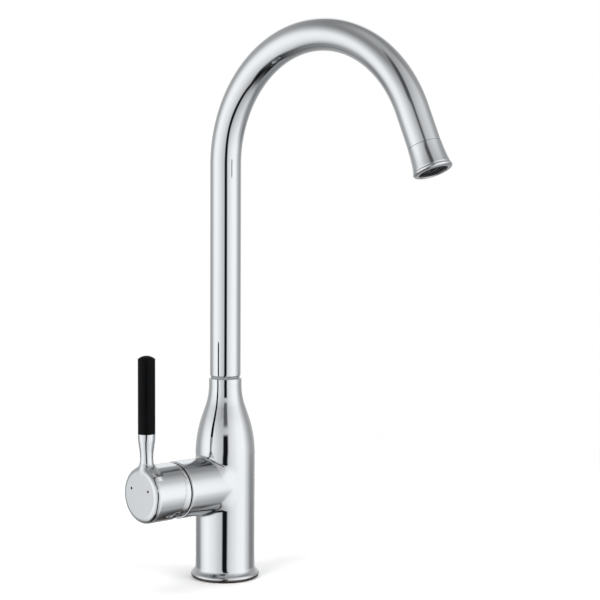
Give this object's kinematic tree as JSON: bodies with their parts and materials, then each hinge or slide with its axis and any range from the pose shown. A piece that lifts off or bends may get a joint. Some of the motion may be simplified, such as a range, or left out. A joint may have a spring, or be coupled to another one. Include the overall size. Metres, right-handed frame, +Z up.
{
  "type": "kitchen tap",
  "caption": "Single-lever kitchen tap with a bottle-shaped body, a side lever with a black grip and a swivelling swan-neck spout with a separate inner way for filtered water.",
  "frame": {"origin": "centre of the foot's underside, on the worktop", "axes": "+Z up along the body's axis; the side branch and lever point to -X; the spout at rest points to -Y, turned 5.5 degrees towards +X"},
  "size_m": [0.1231, 0.2512, 0.4507],
  "materials": {
    "chrome": "polished",
    "brass": "satin",
    "steel": "satin",
    "dark_mesh": "satin",
    "rubber": "matte",
    "white_plastic": "satin",
    "grey_plastic": "satin",
    "black_plastic": "satin",
    "ceramic": "satin",
    "grip_black": "satin",
    "cold_blue": "gloss",
    "hot_red": "gloss"
  },
  "bodies": {
    "body": {"body_casting": "chrome", "base_seal": "rubber", "swivel_washer": "grey_plastic", "cartridge_base": "white_plastic", "port_seals": "rubber", "fixed_disc": "ceramic", "cartridge_housing": "white_plastic", "cartridge_nut": "brass", "cover_ring": "chrome"},
    "spout": {"spout_tube": "chrome", "spout_spigot": "brass", "upper_spout_bush": "white_plastic", "lower_spout_bush": "white_plastic", "upper_spout_o_ring": "rubber", "lower_spout_o_ring": "rubber", "spout_snap_ring": "steel", "waterway_insert": "white_plastic", "filtered_water_o_ring": "rubber", "filtered_water_tube": "white_plastic", "nozzle": "chrome", "aerator_washer": "rubber", "aerator_housing": "black_plastic", "aerator_mesh": "dark_mesh", "flow_straightener": "grey_plastic", "filtered_water_outlet": "black_plastic"},
    "rotor": {"cartridge_rotor": "white_plastic", "pivot_pin": "steel"},
    "disc": {"moving_disc": "ceramic", "disc_carrier": "white_plastic"},
    "lever": {"lever_spindle": "brass", "lever_handle": "chrome", "lever_grip": "grip_black", "grub_screw": "steel", "cold_mark": "cold_blue", "hot_mark": "hot_red"}
  },
  "joints": [
    {"name": "spout_swivel", "type": "hinge", "parent": "body", "child": "spout", "pos_m": [0, 0, 0.125], "axis": [0, 0, 1], "continuous": true},
    {"name": "lever_turn", "type": "hinge", "parent": "body", "child": "rotor", "pos_m": [-0.0503, 0, 0.078], "axis": [-1, 0, 0], "range_deg": [-50, 90]},
    {"name": "lever_tilt", "type": "hinge", "parent": "rotor", "child": "lever", "pos_m": [-0.0503, 0, 0.078], "axis": [0, -1, 0], "range_deg": [0, 25]},
    {"name": "disc_slide", "type": "slide", "parent": "rotor", "child": "disc", "axis": [0, 0, 1], "range_m": [0, 0.00385]}
  ],
  "couplings": [
    {"joint": "disc_slide", "follows": "lever_tilt", "m_per_rad": 0.008717}
  ]
}
